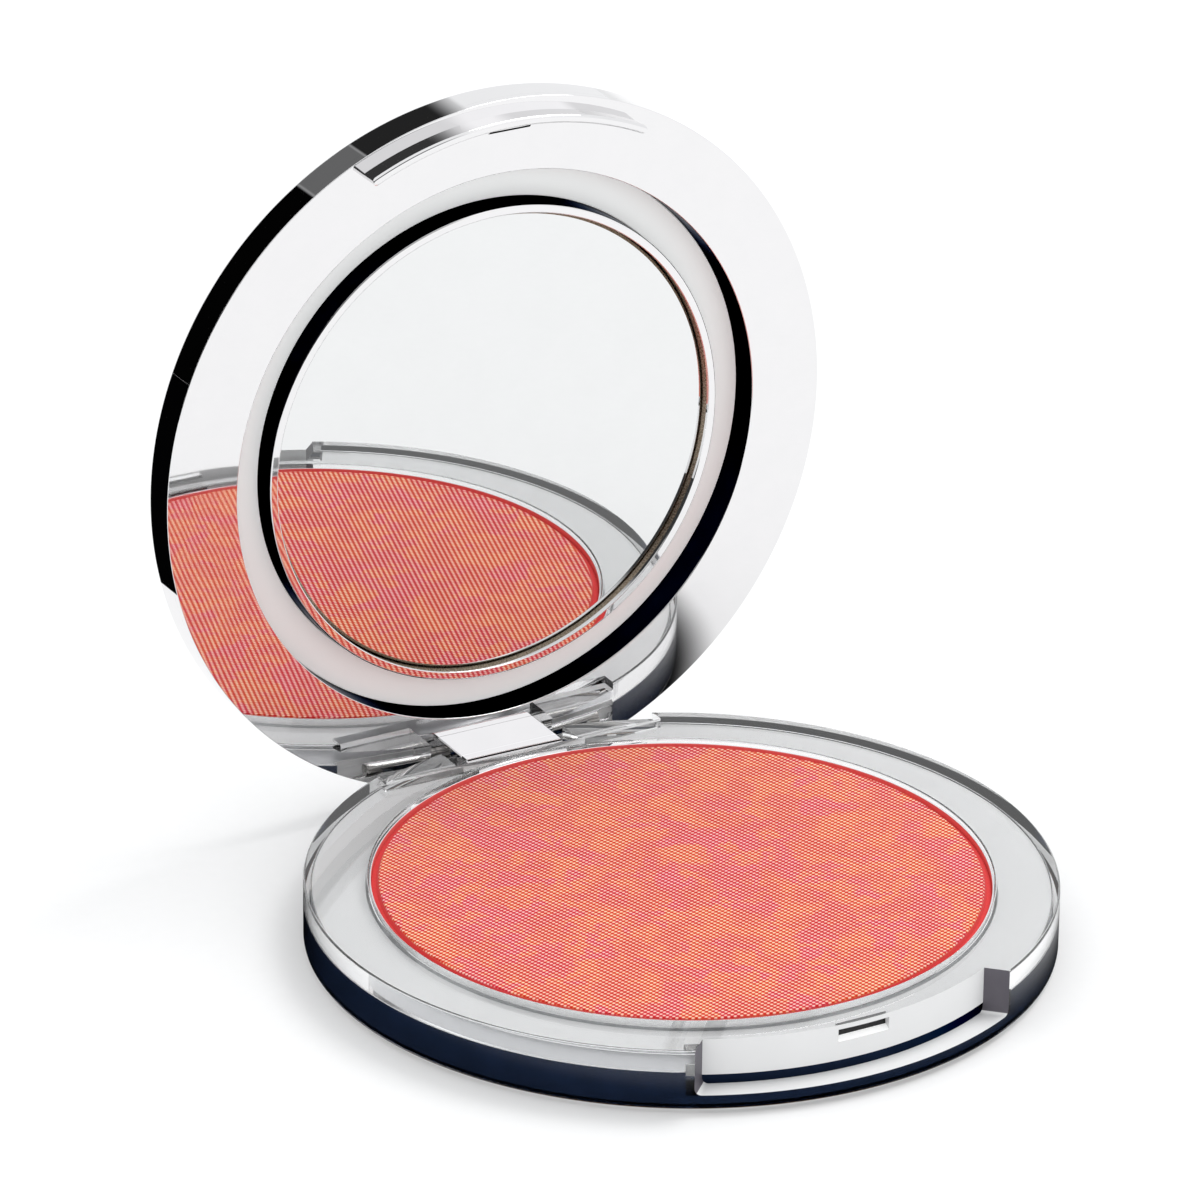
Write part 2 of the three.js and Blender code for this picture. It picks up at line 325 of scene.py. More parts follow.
def smooth(piece, sharp=40):
    """Smooth shading that keeps flat faces flat and edges over the sharp angle crisp."""
    piece.data.shade_smooth()
    piece.data.set_sharp_from_angle(angle=math.radians(sharp))
    weigh = piece.modifiers.new("weighted", "WEIGHTED_NORMAL")
    weigh.keep_sharp = True
    weigh.weight = 100
    bake_modifiers(piece)


def dress(piece, materials, choose=None):
    """Gives the piece its materials; choose picks one by a face's centre and normal."""
    piece.data.materials.clear()
    for material in materials:
        piece.data.materials.append(material)
    for face in piece.data.polygons:
        face.material_index = choose(face.center, face.normal) if choose else 0


def place(piece, body, slot, *nodes):
    """Millimetres to metres, and onto the CAD body in the place of its nodes."""
    piece.data.transform(Matrix.Scale(MM, 4))
    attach(piece, body)
    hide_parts(*nodes)


def radius_of(point):
    return math.hypot(point.x, point.y)


def open_radius_of(point):
    """A point's distance from the open lid's axis."""
    return math.hypot(point.x, point.z - OPEN_AXIS)


# ---- Materials ----
class Nodes:
    """A node tree with short ways to add the nodes that the materials share."""

    def __init__(self, tree):
        self.tree = tree
        tree.nodes.clear()

    def add(self, kind, **settings):
        node = self.tree.nodes.new(kind)
        for name, value in settings.items():
            setattr(node, name, value)
        return node

    def link(self, value, socket):
        if isinstance(value, bpy.types.NodeSocket):
            self.tree.links.new(value, socket)
        else:
            socket.default_value = value

    def maths(self, operation, *values):
        node = self.add("ShaderNodeMath", operation=operation)
        for value, socket in zip(values, node.inputs):
            self.link(value, socket)
        return node.outputs[0]

    def product(self, first, *others):
        for other in others:
            first = self.maths("MULTIPLY", first, other)
        return first

    def total(self, first, *others):
        for other in others:
            first = self.maths("ADD", first, other)
        return first

    def rest(self, share):
        """What a share leaves of 1."""
        return self.maths("SUBTRACT", 1.0, share)

    def vector(self, operation, *values):
        node = self.add("ShaderNodeVectorMath", operation=operation)
        for value, socket in zip(values, node.inputs):
            self.link(value, socket)
        return node.outputs[0]

    def scaled(self, vector, factor):
        node = self.add("ShaderNodeVectorMath", operation="SCALE")
        self.link(vector, node.inputs[0])
        node.inputs["Scale"].default_value = factor
        return node.outputs[0]

    def length(self, vector):
        node = self.add("ShaderNodeVectorMath", operation="LENGTH")
        self.link(vector, node.inputs[0])
        return node.outputs["Value"]

    def split(self, vector):
        """The X, Y and Z of a vector."""
        node = self.add("ShaderNodeSeparateXYZ")
        self.link(vector, node.inputs[0])
        return node.outputs

    def step(self, value, low, high):
        """0 where value is under low, 1 where it is over high, and a smooth rise between."""
        node = self.add("ShaderNodeMapRange", interpolation_type="SMOOTHSTEP")
        self.link(value, node.inputs["Value"])
        node.inputs["From Min"].default_value = low
        node.inputs["From Max"].default_value = high
        return node.outputs["Result"]

    def between(self, share, low, high):
        """A share, which runs from 0 to 1, as a number from low to high."""
        node = self.add("ShaderNodeMapRange")
        self.link(share, node.inputs["Value"])
        node.inputs["To Min"].default_value = low
        node.inputs["To Max"].default_value = high
        return node.outputs["Result"]

    def mix(self, share, one, other):
        node = self.add("ShaderNodeMix", data_type="RGBA")
        self.link(share, node.inputs["Factor"])
        self.link(one, node.inputs["A"])
        self.link(other, node.inputs["B"])
        return node.outputs["Result"]

    def noise(self, where, scale, detail=2.0, roughness=0.5, output="Fac"):
        node = self.add("ShaderNodeTexNoise")
        self.link(where, node.inputs["Vector"])
        node.inputs["Scale"].default_value = scale
        node.inputs["Detail"].default_value = detail
        node.inputs["Roughness"].default_value = roughness
        return node.outputs[output]

    def millimetres(self):
        """The point's place on its object, in millimetres."""
        return self.scaled(self.add("ShaderNodeTexCoord").outputs["Object"], 1 / MM)


class Surface(Nodes):
    """A new material round one Principled shader, with constants on the shader's sockets."""

    def __init__(self, name, **constants):
        self.material = bpy.data.materials.new(name)
        self.material.use_nodes = True
        super().__init__(self.material.node_tree)
        shader = self.add("ShaderNodeBsdfPrincipled")
        output = self.add("ShaderNodeOutputMaterial")
        self.link(shader.outputs[0], output.inputs["Surface"])
        self.inputs = shader.inputs
        for socket, value in constants.items():
            self.inputs[socket.replace("_", " ")].default_value = value
        self.where = self.millimetres()

    def colour(self, share, dark, light):
        """A base colour between two, by a share from 0 to 1."""
        self.link(self.mix(share, (*dark, 1), (*light, 1)), self.inputs["Base Color"])

    def roughness(self, share, low, high):
        self.link(self.between(share, low, high), self.inputs["Roughness"])

    def relief(self, height, depth):
        """Bumps from a height between 0 and 1 that stands for depth millimetres."""
        node = self.add("ShaderNodeBump")
        node.inputs["Strength"].default_value = 1.0
        node.inputs["Distance"].default_value = depth * MM
        self.link(height, node.inputs["Height"])
        self.link(node.outputs["Normal"], self.inputs["Normal"])


def plated(name, dark, light, roughness, wave, **constants):
    """Bright plating on plastic: a nearly perfect mirror, a little wavy as moulded plastic is."""
    surface = Surface(name, Metallic=1.0, **constants)
    surface.colour(surface.noise(surface.where, 0.35, 3), dark, light)
    smear = surface.noise(surface.where, 0.9, 4, 0.6)
    surface.roughness(smear, roughness * 0.4, roughness * 1.6)
    surface.relief(surface.noise(surface.where, 0.11, 1), wave)
    return surface.material


def chrome():
    return plated("chrome_plating", (0.805, 0.80, 0.805), (0.835, 0.825, 0.83), 0.02, 0.012)


def plating_painted_dark(name, dark, light):
    """Plating coloured near-black as painted dark reflection, for the walls between the bright faces.
    """
    return plated(name, dark, light, 0.14, 0.01, Specular_Tint=(0.10, 0.13, 0.20, 1))


def soft_silver(name, dark, light):
    """Soft silver lacquer, between two levels of brightness."""
    surface = Surface(name)
    cloud = surface.noise(surface.where, 0.12, 3)
    surface.colour(cloud, (dark, dark, dark), (light, light, light))
    surface.roughness(surface.noise(surface.where, 5.0, 3), 0.38, 0.5)
    surface.relief(cloud, 0.02)
    return surface.material


def clear_plastic():
    surface = Surface("clear_plastic", IOR=1.49, Transmission_Weight=1.0)
    cloud = surface.noise(surface.where, 0.2, 2)
    surface.colour(cloud, (0.985, 0.99, 0.99), (0.995, 0.997, 0.998))
    surface.roughness(surface.noise(surface.where, 1.1, 4, 0.6), 0.0, 0.02)
    surface.relief(surface.noise(surface.where, 0.16, 1), 0.005)
    return surface.material


def amber_rim_painted_light():
    """The skirt's lower rim, coloured amber as painted light, standing in for how the clear plastic
    looks edge-on.
    """
    surface = Surface("amber_rim_painted_light", IOR=1.49, Transmission_Weight=0.25)
    tint = surface.noise(surface.where, 0.3, 2)
    surface.colour(tint, (0.10, 0.045, 0.015), (0.22, 0.10, 0.035))
    surface.roughness(tint, 0.1, 0.2)
    return surface.material


def slot_shadow():
    """Painted shadow: near-black colour for the unlit back of the catch slot."""
    surface = Surface("slot_painted_shadow", Roughness=0.7)
    grain = surface.noise(surface.where, 4.0, 3)
    surface.colour(grain, (0.004, 0.004, 0.005), (0.012, 0.011, 0.012))
    return surface.material


def twill_emboss(surface):
    """The twill cloth's embossed height, from 0 in its valleys to 1 on its crests; it drives the
    bumps and the powder's painted shade and highlight.
    """
    turn = surface.add("ShaderNodeVectorRotate", rotation_type="Z_AXIS")
    surface.link(surface.where, turn.inputs["Vector"])
    turn.inputs["Angle"].default_value = -TWILL_TURN
    across, along, _ = surface.split(turn.outputs[0])
    row = surface.product(across, 2 * math.pi / TWILL_PITCH)
    thread = surface.product(along, 2 * math.pi / TWILL_DASH)
    slip = surface.maths("SUBTRACT", thread, surface.product(row, TWILL_LEAN))
    ridge = surface.maths("COSINE", row)
    dash = surface.product(surface.maths("COSINE", slip), 0.9)
    stagger = surface.product(surface.maths("COSINE", surface.total(row, slip)), 0.2)
    return surface.step(surface.total(ridge, dash, stagger), -1.2, 1.7)


def marbling(surface, ragged):
    """Orange and coral patches in the pink; ragged breaks up their edges."""
    pink, orange, coral = (0.90, 0.22, 0.31, 1), (0.97, 0.46, 0.15, 1), (0.86, 0.18, 0.14, 1)
    drift = surface.noise(surface.where, 0.35, 3.0, output="Color")
    bent = surface.vector("ADD", surface.where, surface.scaled(drift, 3.0))
    elsewhere = surface.vector("ADD", bent, (37.0, 11.0, 5.0))
    orange_cloud = surface.total(surface.noise(bent, 0.2, 7, 0.7), ragged)
    coral_cloud = surface.total(surface.noise(elsewhere, 0.25, 7, 0.72), ragged)
    colour = surface.mix(surface.step(orange_cloud, 0.49, 0.54), pink, orange)
    return surface.mix(surface.product(surface.step(coral_cloud, 0.52, 0.60), 0.65), colour, coral)


def powder():
    """Marbled coral, pink and orange powder, pressed through a twill cloth, with painted shade in its
    valleys and step and painted highlights on its crests.
    """
    surface = Surface(
        "pressed_powder", Sheen_Weight=0.12, Sheen_Roughness=0.4, Specular_IOR_Level=0.3
    )
    weave = twill_emboss(surface)
    crumb = surface.noise(surface.where, 9.0, 3, 0.7)
    patches = marbling(surface, surface.product(surface.total(weave, crumb), 0.05))
    on_top = surface.step(surface.split(surface.where)[2], CAKE_TOP - 0.2, CAKE_TOP - 0.06)
    # Painted shade: the twill's valleys are darkened in the colour.
    painted_valley_shade = surface.mix(1.0, patches, (0.64, 0.03, 0.04, 1))
    painted_valley_shade.node.blend_type = "MULTIPLY"
    colour = surface.mix(surface.product(surface.rest(weave), on_top), patches, painted_valley_shade)
    # Painted highlight: the twill's crests are lightened toward pale pink.
    painted_crest_highlight = surface.product(surface.step(weave, 0.45, 0.95), on_top, 0.65)
    colour = surface.mix(painted_crest_highlight, colour, (1.0, 0.74, 0.64, 1))
    # Painted shade: off the flat top, the step down into the pan is painted deep red.
    colour = surface.mix(on_top, (0.70, 0.06, 0.06, 1), colour)
    surface.link(colour, surface.inputs["Base Color"])
    surface.roughness(crumb, 0.75, 1.0)
    height = surface.total(weave, surface.product(crumb, 0.35))
    height = surface.product(height, surface.between(on_top, 0.2, 1.0))
    surface.relief(height, TWILL_HEIGHT * 3)
    return surface.material


def powder_dust():
    """The pan's inner wall above the powder, coated with the powder's dust."""
    surface = Surface("powder_dust")
    grain = surface.noise(surface.where, 6.0, 3)
    surface.colour(grain, (0.72, 0.10, 0.10), (0.88, 0.20, 0.18))
    surface.roughness(grain, 0.5, 0.8)
    return surface.material


def notch_end_painted_shade():
    """Painted shade: the notch's end walls coloured a dull violet grey, as they look shaded through
    the clear body.
    """
    surface = Surface("notch_end_painted_shade")
    cloud = surface.noise(surface.where, 0.5, 2)
    surface.colour(cloud, (0.075, 0.068, 0.085), (0.125, 0.115, 0.135))
    surface.roughness(cloud, 0.4, 0.6)
    return surface.material


def pressed_metal():
    """Drawn aluminium, faintly lined around its axis."""
    surface = Surface("pan_metal", Metallic=0.6)
    rings = surface.add("ShaderNodeCombineXYZ")
    surface.link(surface.length(surface.where), rings.inputs[0])
    lines = surface.noise(rings.outputs[0], 3.0, 2)
    surface.colour(lines, (0.78, 0.79, 0.81), (0.88, 0.89, 0.91))
    surface.roughness(lines, 0.26, 0.40)
    surface.relief(lines, 0.004)
    return surface.material


def pin_steel():
    """Drawn steel wire, scratched along its length."""
    surface = Surface("pin_steel", Metallic=1.0, Anisotropic=0.4)
    stretched = surface.vector("MULTIPLY", surface.where, (0.15, 6.0, 6.0))
    lines = surface.noise(stretched, 1.6, 3)
    surface.colour(lines, (0.16, 0.15, 0.14), (0.62, 0.61, 0.59))
    surface.roughness(lines, 0.15, 0.38)
    surface.relief(lines, 0.004)
    return surface.material


def satin_silver():
    # Painted light: the emission makes this satin glow, brightening the ring in its groove and the
    # slot's ramp.
    surface = Surface("satin_silver", Emission_Color=(1, 1, 1, 1), Emission_Strength=0.2)
    grain = surface.noise(surface.where, 14.0, 2)
    cloud = surface.noise(surface.where, 0.06, 1)
    surface.colour(cloud, (0.90, 0.905, 0.90), (0.95, 0.955, 0.945))
    surface.roughness(grain, 0.42, 0.58)
    surface.relief(grain, 0.002)
    return surface.material


def mirror_silver():
    """Silvered glass: a clean mirror with the faintest haze."""
    surface = Surface("mirror_silver", Metallic=1.0)
    haze = surface.noise(surface.where, 0.3, 3)
    surface.colour(haze, (0.79, 0.795, 0.795), (0.815, 0.82, 0.82))
    surface.roughness(haze, 0.0, 0.012)
    return surface.material


def mirror_edge():
    """The ground edge of the glass, bronze where the silvering ends."""
    surface = Surface("mirror_edge", Metallic=0.6)
    grind = surface.noise(surface.where, 6.0, 3)
    surface.colour(grind, (0.22, 0.17, 0.11), (0.50, 0.44, 0.34))
    surface.roughness(grind, 0.15, 0.4)
    return surface.material


def foam_tape():
    surface = Surface("foam_tape")
    cells = surface.noise(surface.where, 3.5, 4, 0.7)
    surface.colour(cells, (0.62, 0.60, 0.55), (0.84, 0.82, 0.76))
    surface.roughness(cells, 0.7, 0.95)
    surface.relief(cells, 0.05)
    return surface.material


CHROME = chrome()
SHELL_SILVER = soft_silver("shell_silver", 0.92, 0.97)
# Painted shade: a darker copy of the shell's silver for the notch's ledge, its back wall and the
# slot's sides.
NOTCH_SILVER_PAINTED_SHADE = soft_silver("notch_silver_painted_shade", 0.74, 0.80)
# Painted dark reflection: plating coloured navy for the skirt's inner walls and the foot of the
# notch's back wall.
NAVY_PAINTED_REFLECTION = plating_painted_dark("navy_painted_reflection", (0.006, 0.011, 0.024), (0.012, 0.021, 0.050))
# Painted dark reflection: plating coloured near-black for the groove's upright walls.
GROOVE_PAINTED_BLACK = plating_painted_dark("groove_painted_black", (0.003, 0.003, 0.005), (0.007, 0.008, 0.014))
CLEAR = clear_plastic()
NOTCH_END_PAINTED_SHADE = notch_end_painted_shade()
SATIN_PAINTED_GLOW = satin_silver()


# ---- Base ----
def notch_cutter():
    """The space of the finger notch, with rounded corners where the ledge ends."""
    reach = NOTCH_CORNER / OUTER
    beyond = OUTER + 1
    stations = []
    for side in (-1, 1):
        angles = []
        for k in range(7):
            turn = math.pi / 2 * k / 6
            rise = NOTCH_CORNER * (1 - math.sin(turn))
            inward = reach * (1 - math.cos(turn))
            angles.append((side * (NOTCH_HALF_ANGLE - inward), rise))
        stations += angles if side < 0 else angles[::-1]
        if side < 0:
            flat = NOTCH_HALF_ANGLE - reach
            stations += [(-flat + 2 * flat * k / 24, 0) for k in range(1, 24)]
    outlines = []
    for angle, rise in stations:
        low = NOTCH_LEDGE + rise
        outline = [(NOTCH_RADIUS, low), (beyond, low), (beyond, FAR), (NOTCH_RADIUS, FAR)]
        outlines.append((FRONT + angle, outline))
    cutter = swept("notch_space", outlines)
    for vertex in cutter.data.vertices:
        radius = radius_of(vertex.co)
        angle = math.atan2(vertex.co.y, vertex.co.x) - FRONT
        angle *= 1 - NOTCH_SPLAY * (OUTER - radius) / (OUTER - NOTCH_RADIUS)
        vertex.co.x = radius * math.cos(FRONT + angle)
        vertex.co.y = radius * math.sin(FRONT + angle)
    return cutter


def sector(name, inner, outer, low, high, half_angle):
    """Part of a ring about Z, centred on the latch direction."""
    count = 24
    outline = [(inner, low), (outer, low), (outer, high), (inner, high)]
    angles = [FRONT - half_angle + 2 * half_angle * k / count for k in range(count + 1)]
    return swept(name, [(angle, outline) for angle in angles])


def slot_cutter():
    """The catch slot: a pocket whose floor slopes up towards its back."""
    outside = -NOTCH_RADIUS - 1
    corners = [
        (outside, SLOT_BOTTOM, 0),
        (SLOT_LIP - NOTCH_RADIUS, SLOT_BOTTOM, 0),
        (SLOT_BACK, SLOT_BOTTOM + SLOT_RISE, 0),
        (SLOT_BACK, SLOT_TOP, 0),
        (outside, SLOT_TOP, 0),
    ]
    return prism("slot_space", corners, -SLOT_WIDTH / 2, SLOT_WIDTH / 2)


def hinge_rod(name, radius, length):
    """A rod along X on the hinge axis, with rounded ends."""
    half = length / 2
    edge = min(0.2, radius / 3)
    corners = [(0, -half, 0), (radius, -half, edge), (radius, half, edge), (0, half, 0)]
    rod = turned(name, corners, facets=64)
    rod.data.transform(Matrix.Translation(hinge) @ Matrix.Rotation(math.pi / 2, 4, "Y"))
    return rod


def hinge_lugs():
    """The two lugs at the back as one block, before the lid's knuckle is given room."""
    reach = OUTER - LUG_INSET
    corners = [(0, LUG_BOTTOM, 0), (reach, LUG_BOTTOM, 0.25), (reach, LUG_TOP, 0.15), (0, LUG_TOP, 0)]
    lugs = turned("lugs", corners)
    span = block("span", (-LUG_SPAN / 2, LUG_FRONT, -FAR), (LUG_SPAN / 2, FAR, FAR))
    combine(lugs, span, "INTERSECT")
    return lugs


def make_clear_body():
    """The thick clear moulding: deck, skirt, finger notch, catch slot and hinge lugs."""
    piece = turned(
        "clear_body",
        [
            (WELL, SHELL_TOP + FIT, 0.1),
            (SHELL + FIT, SHELL_TOP + FIT, 0.1),
            (SHELL + FIT, SKIRT_BOTTOM, 0.1),
            (OUTER, SKIRT_BOTTOM, 0.25),
            (OUTER, DECK, 0.22),
            (WELL, DECK, 0.2),
        ],
    )
    pad = sector(
        "pad",
        NOTCH_RADIUS - NOTCH_WALL,
        OUTER - 0.25,
        NOTCH_LEDGE - NOTCH_FLOOR,
        DECK - 0.3,
        NOTCH_HALF_ANGLE + NOTCH_WALL / NOTCH_RADIUS,
    )
    combine(piece, pad, "UNION")
    combine(piece, notch_cutter(), "DIFFERENCE")
    combine(piece, slot_cutter(), "DIFFERENCE")
    above_lugs = block("above", (-LUG_SPAN / 2, LUG_FRONT, LUG_TOP), (LUG_SPAN / 2, FAR, FAR))
    combine(piece, above_lugs, "DIFFERENCE")
    combine(piece, hinge_lugs(), "UNION")
    half_slot = KNUCKLE_SLOT_WIDTH / 2
    knuckle_room = block("gap", (-half_slot, LUG_FRONT, -FAR), (half_slot, FAR, FAR))
    combine(piece, knuckle_room, "DIFFERENCE")
    combine(piece, hinge_rod("bore", PIN + FIT, FAR), "DIFFERENCE")
    tidy_faces(piece)
    split_at_height(piece, NOTCH_STRIPE)
    smooth(piece, 30)
    materials = [CLEAR, slot_shadow(), amber_rim_painted_light(), NOTCH_SILVER_PAINTED_SHADE, NAVY_PAINTED_REFLECTION, NOTCH_END_PAINTED_SHADE, SATIN_PAINTED_GLOW]
    clear, painted_slot_shadow, painted_amber_light, silver, navy, painted_end_shade, satin_painted_glow = range(len(materials))

    def finish(centre, normal):
        """Which finish a face has, painted shade, dark reflection and glow among them; near stands
        for a hair's breadth of tolerance.
        """
        near = 0.02
        radius = radius_of(centre)
        # The skirt's lower rim gets painted amber light.
        if radius > OUTER - 0.2 and centre.z < SKIRT_BOTTOM + 0.2:
            return painted_amber_light
        angle = abs(math.atan2(centre.y, centre.x) - FRONT)
        outward = (normal.x * centre.x + normal.y * centre.y) / radius
        # Painted dark reflection: the skirt's inner face is painted navy.
        if abs(radius - SHELL - FIT) < 0.03 and outward < -0.7 and centre.z < SHELL_TOP:
            return navy
        if angle > NOTCH_HALF_ANGLE + 0.01 or centre.y > 0:
            return clear
        beside_slot = abs(centre.x) < SLOT_WIDTH / 2 + near
        level_with_slot = SLOT_BOTTOM - near < centre.z < SLOT_TOP + near
        behind_wall = 0.03 - NOTCH_RADIUS < centre.y < SLOT_BACK + 0.03
        if beside_slot and level_with_slot and behind_wall:
            if normal.z < -0.5:
                return clear
            if abs(normal.x) > 0.7:
                return silver
            # The slot's floor gets the glowing satin, painted light; its back gets painted shadow.
            return satin_painted_glow if normal.z > 0.5 else painted_slot_shadow
        # The notch's back wall: darker silver as painted shade above the stripe, navy as painted dark
        # reflection below it.
        if abs(radius - NOTCH_RADIUS) < 0.06 and outward > 0.7:
            return silver if centre.z > NOTCH_STRIPE else navy
        in_width = NOTCH_RADIUS < radius < OUTER + 0.01
        in_notch = in_width and NOTCH_LEDGE - near < centre.z < DECK - near
        # The ledge gets the darker silver, painted shade.
        if in_notch and normal.z > 0.6:
            return silver
        # The notch's end walls get the grey painted shade.
        return painted_end_shade if in_notch and abs(outward) < 0.5 and normal.z > -0.1 else clear

    dress(piece, materials, finish)
    place(piece, "base", "clear_plastic", "base_body")


def make_plated_shell():
    """The shell under and behind the clear body: soft silver, with walls painted navy and grey as
    painted dark reflection and shade.
    """
    piece = turned(
        "plated_shell",
        [
            (0, 0, 0),
            (SHELL, 0, 0.45),
            (SHELL, SHELL_TOP, 0.15),
            (SHELL_BORE, SHELL_TOP, 0.12),
            (SHELL_BORE, SHELL_FLOOR, 0.3),
            (0, SHELL_FLOOR, 0),
        ],
    )
    pad_inside = NOTCH_RADIUS - NOTCH_WALL - FIT
    pad_room = sector(
        "around_pad",
        pad_inside,
        FAR,
        NOTCH_LEDGE - NOTCH_FLOOR - FIT,
        FAR,
        NOTCH_HALF_ANGLE + (NOTCH_WALL + 2 * FIT) / NOTCH_RADIUS,
    )
    lug_room = block(
        "lug_room",
        (-LUG_SPAN / 2 - FIT, LUG_FRONT - FIT, LUG_BOTTOM - FIT),
        (LUG_SPAN / 2 + FIT, FAR, FAR),
    )
    for tool in (pad_room, lug_room):
        combine(piece, tool, "DIFFERENCE")
    tidy_faces(piece)
    silver, navy, painted_end_shade = range(3)

    def wall(centre, normal):
        radius = radius_of(centre)
        if abs(normal.z) > 0.5 or radius < SHELL_BORE + 0.3 or centre.y > LUG_FRONT - 1:
            return silver
        # Walls across the notch's ends get the grey painted shade; below the stripe, the rest get
        # navy painted dark reflection.
        across = abs(normal.x * centre.y - normal.y * centre.x) / radius
        if across > 0.7:
            return painted_end_shade
        behind_notch = radius < pad_inside + 0.3
        return silver if behind_notch and centre.z > NOTCH_STRIPE else navy

    split_at_height(piece, NOTCH_STRIPE)
    smooth(piece, 30)
    dress(piece, [SHELL_SILVER, NAVY_PAINTED_REFLECTION, NOTCH_END_PAINTED_SHADE], wall)
    place(piece, "base", "chrome_base", "base_shell")


def make_pan():
    inside = PAN - PAN_WALL
    floor_top = pan_low.z + PAN_WALL
    piece = turned(
        "pressed_pan",
        [
            (0, pan_low.z, 0),
            (PAN, pan_low.z, 0.5),
            (PAN, RIM_TOP, 0.09),
            (inside, RIM_TOP, 0.09),
            (inside, floor_top, 0.2),
            (0, floor_top, 0),
        ],
    )
    smooth(piece)

    def dusty(centre, normal):
        return 1 if radius_of(centre) < inside + 0.03 and abs(normal.z) < 0.7 else 0

    dress(piece, [pressed_metal(), powder_dust()], dusty)
    place(piece, "base", "pan_metal", "powder_pan")


def make_cake():
    """The powder: a flat top with embossed ridges, and a rounded step down to the pan's rim."""
    plateau = CAKE - CAKE_STEP
    across_count = int(2 * plateau / (TWILL_PITCH / 4))
    along_count = 110
    bm = bmesh.new()
    rows = []
    for i in range(across_count + 1):
        across = -plateau + 2 * plateau * i / across_count
        across = max(-plateau + 0.03, min(plateau - 0.03, across))
        half_chord = math.sqrt(plateau**2 - across**2)
        fade = min(1, (plateau - abs(across)) / 0.6)
        row = []
        for k in range(along_count + 1):
            along = half_chord * math.sin(math.pi / 2 * (2 * k / along_count - 1))
            edge = min(1, (plateau - math.hypot(across, along)) / 0.5)
            ridge = 0.5 + 0.5 * math.cos(2 * math.pi * across / TWILL_PITCH)
            height = CAKE_TOP - TWILL_HEIGHT * (1 - ridge) * max(0, edge) * fade
            row.append(bm.verts.new((across, along, height)))
        rows.append(row)
    skin(bm, rows, False, False)
    one_side, other_side = [row[0] for row in rows], [row[-1] for row in rows]
    border = one_side + rows[-1][1:] + other_side[-2::-1] + rows[0][-2:0:-1]
    step = rounded(
        [
            (plateau, CAKE_TOP, 0),
            (plateau + 0.12, CAKE_TOP, 0.11),
            (plateau + 0.38, CAKE_TOP - 0.55, 0.12),
            (CAKE, CAKE_TOP - 0.62, 0.08),
            (CAKE, cake_low.z, 0.2),
            (0.3, cake_low.z, 0),
        ]
    )
    rings = [border]
    for point in step[1:]:
        ring = []
        for vertex in border:
            out = vertex.co.xy.normalized() * point.x
            ring.append(bm.verts.new((out.x, out.y, point.y)))
        rings.append(ring)
    skin(bm, rings, False, True)
    bm.faces.new(rings[-1])
    piece = object_from("powder", bm)
    piece.data.transform(Matrix.Rotation(TWILL_TURN, 4, "Z"))
    piece.data.shade_smooth()
    piece.data.set_sharp_from_angle(angle=math.radians(50))
    dress(piece, [powder()])
    place(piece, "base", "powder", "powder_cake")


def make_pin():
    piece = hinge_rod("steel_pin", PIN, pin_high.x - pin_low.x)
    smooth(piece)
    dress(piece, [pin_steel()])
    place(piece, "base", "steel", "hinge_pin")


# ---- Lid ----
def behind_face(depth):
    return LID_FACE + depth


def latch_lip():
    """A curved rib with a rounded tip and half-round ends."""
    middle = (LIP_INNER + LIP_OUTER) / 2
    half = (LIP_OUTER - LIP_INNER) / 2
    root = behind_face(LID_RIM / 2)
    tip = LID_FACE - LIP_HEIGHT

    def outline(width):
        round_tip = min(LIP_TIP_FILLET, width * 0.6)
        flare = LIP_FLARE * width / half
        corners = [
            (middle - width, root, 0),
            (middle - width, tip, round_tip),
            (middle + width, tip, round_tip),
            (middle + width - flare, root, 0),
        ]
        return [tuple(p) for p in rounded(corners)]

    cap = half / middle
    body = LIP_HALF_ANGLE - cap
    cap_turns = [math.pi / 2 * k / 6 for k in range(1, 6)] + [math.radians(86)]
    ends = [(body + cap * math.sin(turn), outline(half * math.cos(turn))) for turn in cap_turns]
    stations = [(FRONT - reach, section) for reach, section in reversed(ends)]
    stations += [(FRONT - body + 2 * body * k / 40, outline(half)) for k in range(41)]
    stations += [(FRONT + reach, section) for reach, section in ends]
    return swept("lip", stations)


def snap_hook():
    """The wedge on the lip's inner face that drops into the catch slot."""
    low = LID_FACE - LIP_HEIGHT + HOOK_ABOVE_TIP
    inside_lip, past_lip = -LIP_INNER - 0.3, 0.1 - LIP_INNER
    corners = [
        (inside_lip, low, 0),
        (past_lip, low, 0),
        (HOOK_REACH - LIP_INNER, low + HOOK_HEIGHT * 0.5, 0.12),
        (past_lip, low + HOOK_HEIGHT, 0),
        (inside_lip, low + HOOK_HEIGHT, 0),
    ]
    return prism("hook", corners, -HOOK_WIDTH / 2, HOOK_WIDTH / 2)


def knuckle():
    """The lid's hinge knuckle: a barrel round the pin and the arm that joins it to the lid."""
    top = hinge.z + KNUCKLE
    arm_end = OPEN_FACE + LID_RIM / 2
    behind, half_width, depth = KNUCKLE_GROOVE
    groove = hinge.y + behind
    corners = [
        (arm_end, KNUCKLE_BOTTOM, 0),
        (arm_end, top, 0),
        (groove + half_width, top, 0),
        (groove, top - depth, 0),
        (groove - half_width, top, 0),
        (hinge.y, top, 0),
    ]
    for k in range(1, 17):
        angle = math.pi / 2 + math.pi * k / 16 * 0.98
        arm = Vector((math.cos(angle), math.sin(angle))) * KNUCKLE
        corners.append((hinge.y + arm.x, hinge.z + arm.y, 0))
    corners.append((hinge.y + 1.2, KNUCKLE_BOTTOM, 0.3))
    return prism("knuckle", corners, -KNUCKLE_WIDTH / 2, KNUCKLE_WIDTH / 2, 0.12)


